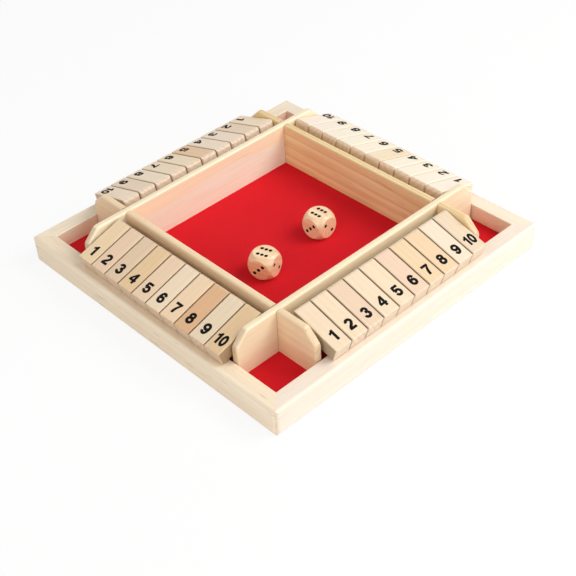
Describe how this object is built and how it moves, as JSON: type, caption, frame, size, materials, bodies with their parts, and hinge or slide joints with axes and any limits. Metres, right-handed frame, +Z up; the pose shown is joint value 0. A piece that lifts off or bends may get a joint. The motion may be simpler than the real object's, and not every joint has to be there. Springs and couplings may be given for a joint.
{
  "type": "shut the box game",
  "caption": "Square shut the box board for several players: framed dice tray between crossed divider boards, a row of hinged number tiles sloping to each side, corner wells and loose dice.",
  "frame": {"origin": "middle of the underside, on the table", "axes": "+Z up; -Y is the front player's side, +X the side to that player's right; each player's tiles count up from that player's left"},
  "size_m": [0.218, 0.218, 0.0366],
  "materials": {
    "pine_frame": "clear satin varnish over pine",
    "pine_dividers": "clear satin varnish over pine",
    "tile_wood": "clear satin varnish, tone differs from tile to tile",
    "base_ply": "raw plywood",
    "red_lining": "smooth matte red",
    "steel_rods": "drawn steel rod",
    "dice_wood": "clear satin varnish, black pips"
  },
  "bodies": {
    "case": {"rail_front": "pine_frame", "rail_right": "pine_frame", "rail_back": "pine_frame", "rail_left": "pine_frame", "base_board": "base_ply", "red_lining": "red_lining", "divider_front": "pine_dividers", "divider_right": "pine_dividers", "divider_back": "pine_dividers", "divider_left": "pine_dividers", "rod_front": "steel_rods", "rod_right": "steel_rods", "rod_back": "steel_rods", "rod_left": "steel_rods"},
    "tile_front_1": {"tile_front_1": "tile_wood"},
    "tile_front_2": {"tile_front_2": "tile_wood"},
    "tile_front_3": {"tile_front_3": "tile_wood"},
    "tile_front_4": {"tile_front_4": "tile_wood"},
    "tile_front_5": {"tile_front_5": "tile_wood"},
    "tile_front_6": {"tile_front_6": "tile_wood"},
    "tile_front_7": {"tile_front_7": "tile_wood"},
    "tile_front_8": {"tile_front_8": "tile_wood"},
    "tile_front_9": {"tile_front_9": "tile_wood"},
    "tile_front_10": {"tile_front_10": "tile_wood"},
    "tile_right_1": {"tile_right_1": "tile_wood"},
    "tile_right_2": {"tile_right_2": "tile_wood"},
    "tile_right_3": {"tile_right_3": "tile_wood"},
    "tile_right_4": {"tile_right_4": "tile_wood"},
    "tile_right_5": {"tile_right_5": "tile_wood"},
    "tile_right_6": {"tile_right_6": "tile_wood"},
    "tile_right_7": {"tile_right_7": "tile_wood"},
    "tile_right_8": {"tile_right_8": "tile_wood"},
    "tile_right_9": {"tile_right_9": "tile_wood"},
    "tile_right_10": {"tile_right_10": "tile_wood"},
    "tile_back_1": {"tile_back_1": "tile_wood"},
    "tile_back_2": {"tile_back_2": "tile_wood"},
    "tile_back_3": {"tile_back_3": "tile_wood"},
    "tile_back_4": {"tile_back_4": "tile_wood"},
    "tile_back_5": {"tile_back_5": "tile_wood"},
    "tile_back_6": {"tile_back_6": "tile_wood"},
    "tile_back_7": {"tile_back_7": "tile_wood"},
    "tile_back_8": {"tile_back_8": "tile_wood"},
    "tile_back_9": {"tile_back_9": "tile_wood"},
    "tile_back_10": {"tile_back_10": "tile_wood"},
    "tile_left_1": {"tile_left_1": "tile_wood"},
    "tile_left_2": {"tile_left_2": "tile_wood"},
    "tile_left_3": {"tile_left_3": "tile_wood"},
    "tile_left_4": {"tile_left_4": "tile_wood"},
    "tile_left_5": {"tile_left_5": "tile_wood"},
    "tile_left_6": {"tile_left_6": "tile_wood"},
    "tile_left_7": {"tile_left_7": "tile_wood"},
    "tile_left_8": {"tile_left_8": "tile_wood"},
    "tile_left_9": {"tile_left_9": "tile_wood"},
    "tile_left_10": {"tile_left_10": "tile_wood"},
    "die_1": {"die_1": "dice_wood"},
    "die_2": {"die_2": "dice_wood"}
  },
  "joints": [
    {"name": "flip_front_1", "type": "hinge", "parent": "case", "child": "tile_front_1", "pos_m": [-0.05557, -0.075, 0.0299], "axis": [-1, 0, 0], "range_deg": [0, 114]},
    {"name": "flip_front_2", "type": "hinge", "parent": "case", "child": "tile_front_2", "pos_m": [-0.04303, -0.075, 0.0299], "axis": [-1, 0, 0], "range_deg": [0, 114]},
    {"name": "flip_front_3", "type": "hinge", "parent": "case", "child": "tile_front_3", "pos_m": [-0.03047, -0.075, 0.0299], "axis": [-1, 0, 0], "range_deg": [0, 114]},
    {"name": "flip_front_4", "type": "hinge", "parent": "case", "child": "tile_front_4", "pos_m": [-0.01792, -0.075, 0.0299], "axis": [-1, 0, 0], "range_deg": [0, 114]},
    {"name": "flip_front_5", "type": "hinge", "parent": "case", "child": "tile_front_5", "pos_m": [-0.00537, -0.075, 0.0299], "axis": [-1, 0, 0], "range_deg": [0, 114]},
    {"name": "flip_front_6", "type": "hinge", "parent": "case", "child": "tile_front_6", "pos_m": [0.00717, -0.075, 0.0299], "axis": [-1, 0, 0], "range_deg": [0, 114]},
    {"name": "flip_front_7", "type": "hinge", "parent": "case", "child": "tile_front_7", "pos_m": [0.01972, -0.075, 0.0299], "axis": [-1, 0, 0], "range_deg": [0, 114]},
    {"name": "flip_front_8", "type": "hinge", "parent": "case", "child": "tile_front_8", "pos_m": [0.03227, -0.075, 0.0299], "axis": [-1, 0, 0], "range_deg": [0, 114]},
    {"name": "flip_front_9", "type": "hinge", "parent": "case", "child": "tile_front_9", "pos_m": [0.04482, -0.075, 0.0299], "axis": [-1, 0, 0], "range_deg": [0, 114]},
    {"name": "flip_front_10", "type": "hinge", "parent": "case", "child": "tile_front_10", "pos_m": [0.05738, -0.075, 0.0299], "axis": [-1, 0, 0], "range_deg": [0, 114]},
    {"name": "flip_right_1", "type": "hinge", "parent": "case", "child": "tile_right_1", "pos_m": [0.075, -0.05597, 0.0299], "axis": [0, -1, 0], "range_deg": [0, 114]},
    {"name": "flip_right_2", "type": "hinge", "parent": "case", "child": "tile_right_2", "pos_m": [0.075, -0.04342, 0.0299], "axis": [0, -1, 0], "range_deg": [0, 114]},
    {"name": "flip_right_3", "type": "hinge", "parent": "case", "child": "tile_right_3", "pos_m": [0.075, -0.03087, 0.0299], "axis": [0, -1, 0], "range_deg": [0, 114]},
    {"name": "flip_right_4", "type": "hinge", "parent": "case", "child": "tile_right_4", "pos_m": [0.075, -0.01833, 0.0299], "axis": [0, -1, 0], "range_deg": [0, 114]},
    {"name": "flip_right_5", "type": "hinge", "parent": "case", "child": "tile_right_5", "pos_m": [0.075, -0.00577, 0.0299], "axis": [0, -1, 0], "range_deg": [0, 114]},
    {"name": "flip_right_6", "type": "hinge", "parent": "case", "child": "tile_right_6", "pos_m": [0.075, 0.00677, 0.0299], "axis": [0, -1, 0], "range_deg": [0, 114]},
    {"name": "flip_right_7", "type": "hinge", "parent": "case", "child": "tile_right_7", "pos_m": [0.075, 0.01932, 0.0299], "axis": [0, -1, 0], "range_deg": [0, 114]},
    {"name": "flip_right_8", "type": "hinge", "parent": "case", "child": "tile_right_8", "pos_m": [0.075, 0.03188, 0.0299], "axis": [0, -1, 0], "range_deg": [0, 114]},
    {"name": "flip_right_9", "type": "hinge", "parent": "case", "child": "tile_right_9", "pos_m": [0.075, 0.04442, 0.0299], "axis": [0, -1, 0], "range_deg": [0, 114]},
    {"name": "flip_right_10", "type": "hinge", "parent": "case", "child": "tile_right_10", "pos_m": [0.075, 0.05697, 0.0299], "axis": [0, -1, 0], "range_deg": [0, 114]},
    {"name": "flip_back_1", "type": "hinge", "parent": "case", "child": "tile_back_1", "pos_m": [0.05738, 0.075, 0.0299], "axis": [1, 0, 0], "range_deg": [0, 114]},
    {"name": "flip_back_2", "type": "hinge", "parent": "case", "child": "tile_back_2", "pos_m": [0.04482, 0.075, 0.0299], "axis": [1, 0, 0], "range_deg": [0, 114]},
    {"name": "flip_back_3", "type": "hinge", "parent": "case", "child": "tile_back_3", "pos_m": [0.03227, 0.075, 0.0299], "axis": [1, 0, 0], "range_deg": [0, 114]},
    {"name": "flip_back_4", "type": "hinge", "parent": "case", "child": "tile_back_4", "pos_m": [0.01972, 0.075, 0.0299], "axis": [1, 0, 0], "range_deg": [0, 114]},
    {"name": "flip_back_5", "type": "hinge", "parent": "case", "child": "tile_back_5", "pos_m": [0.00717, 0.075, 0.0299], "axis": [1, 0, 0], "range_deg": [0, 114]},
    {"name": "flip_back_6", "type": "hinge", "parent": "case", "child": "tile_back_6", "pos_m": [-0.00537, 0.075, 0.0299], "axis": [1, 0, 0], "range_deg": [0, 114]},
    {"name": "flip_back_7", "type": "hinge", "parent": "case", "child": "tile_back_7", "pos_m": [-0.01792, 0.075, 0.0299], "axis": [1, 0, 0], "range_deg": [0, 114]},
    {"name": "flip_back_8", "type": "hinge", "parent": "case", "child": "tile_back_8", "pos_m": [-0.03047, 0.075, 0.0299], "axis": [1, 0, 0], "range_deg": [0, 114]},
    {"name": "flip_back_9", "type": "hinge", "parent": "case", "child": "tile_back_9", "pos_m": [-0.04303, 0.075, 0.0299], "axis": [1, 0, 0], "range_deg": [0, 114]},
    {"name": "flip_back_10", "type": "hinge", "parent": "case", "child": "tile_back_10", "pos_m": [-0.05557, 0.075, 0.0299], "axis": [1, 0, 0], "range_deg": [0, 114]},
    {"name": "flip_left_1", "type": "hinge", "parent": "case", "child": "tile_left_1", "pos_m": [-0.075, 0.05577, 0.0299], "axis": [0, 1, 0], "range_deg": [0, 114]},
    {"name": "flip_left_2", "type": "hinge", "parent": "case", "child": "tile_left_2", "pos_m": [-0.075, 0.04322, 0.0299], "axis": [0, 1, 0], "range_deg": [0, 114]},
    {"name": "flip_left_3", "type": "hinge", "parent": "case", "child": "tile_left_3", "pos_m": [-0.075, 0.03068, 0.0299], "axis": [0, 1, 0], "range_deg": [0, 114]},
    {"name": "flip_left_4", "type": "hinge", "parent": "case", "child": "tile_left_4", "pos_m": [-0.075, 0.01812, 0.0299], "axis": [0, 1, 0], "range_deg": [0, 114]},
    {"name": "flip_left_5", "type": "hinge", "parent": "case", "child": "tile_left_5", "pos_m": [-0.075, 0.00558, 0.0299], "axis": [0, 1, 0], "range_deg": [0, 114]},
    {"name": "flip_left_6", "type": "hinge", "parent": "case", "child": "tile_left_6", "pos_m": [-0.075, -0.00698, 0.0299], "axis": [0, 1, 0], "range_deg": [0, 114]},
    {"name": "flip_left_7", "type": "hinge", "parent": "case", "child": "tile_left_7", "pos_m": [-0.075, -0.01953, 0.0299], "axis": [0, 1, 0], "range_deg": [0, 114]},
    {"name": "flip_left_8", "type": "hinge", "parent": "case", "child": "tile_left_8", "pos_m": [-0.075, -0.03207, 0.0299], "axis": [0, 1, 0], "range_deg": [0, 114]},
    {"name": "flip_left_9", "type": "hinge", "parent": "case", "child": "tile_left_9", "pos_m": [-0.075, -0.04462, 0.0299], "axis": [0, 1, 0], "range_deg": [0, 114]},
    {"name": "flip_left_10", "type": "hinge", "parent": "case", "child": "tile_left_10", "pos_m": [-0.075, -0.05717, 0.0299], "axis": [0, 1, 0], "range_deg": [0, 114]},
    {"name": "lift_die_1", "type": "slide", "parent": "case", "child": "die_1", "axis": [0, 0, 1], "range_m": [0, 0.06]},
    {"name": "lift_die_2", "type": "slide", "parent": "case", "child": "die_2", "axis": [0, 0, 1], "range_m": [0, 0.06]}
  ]
}
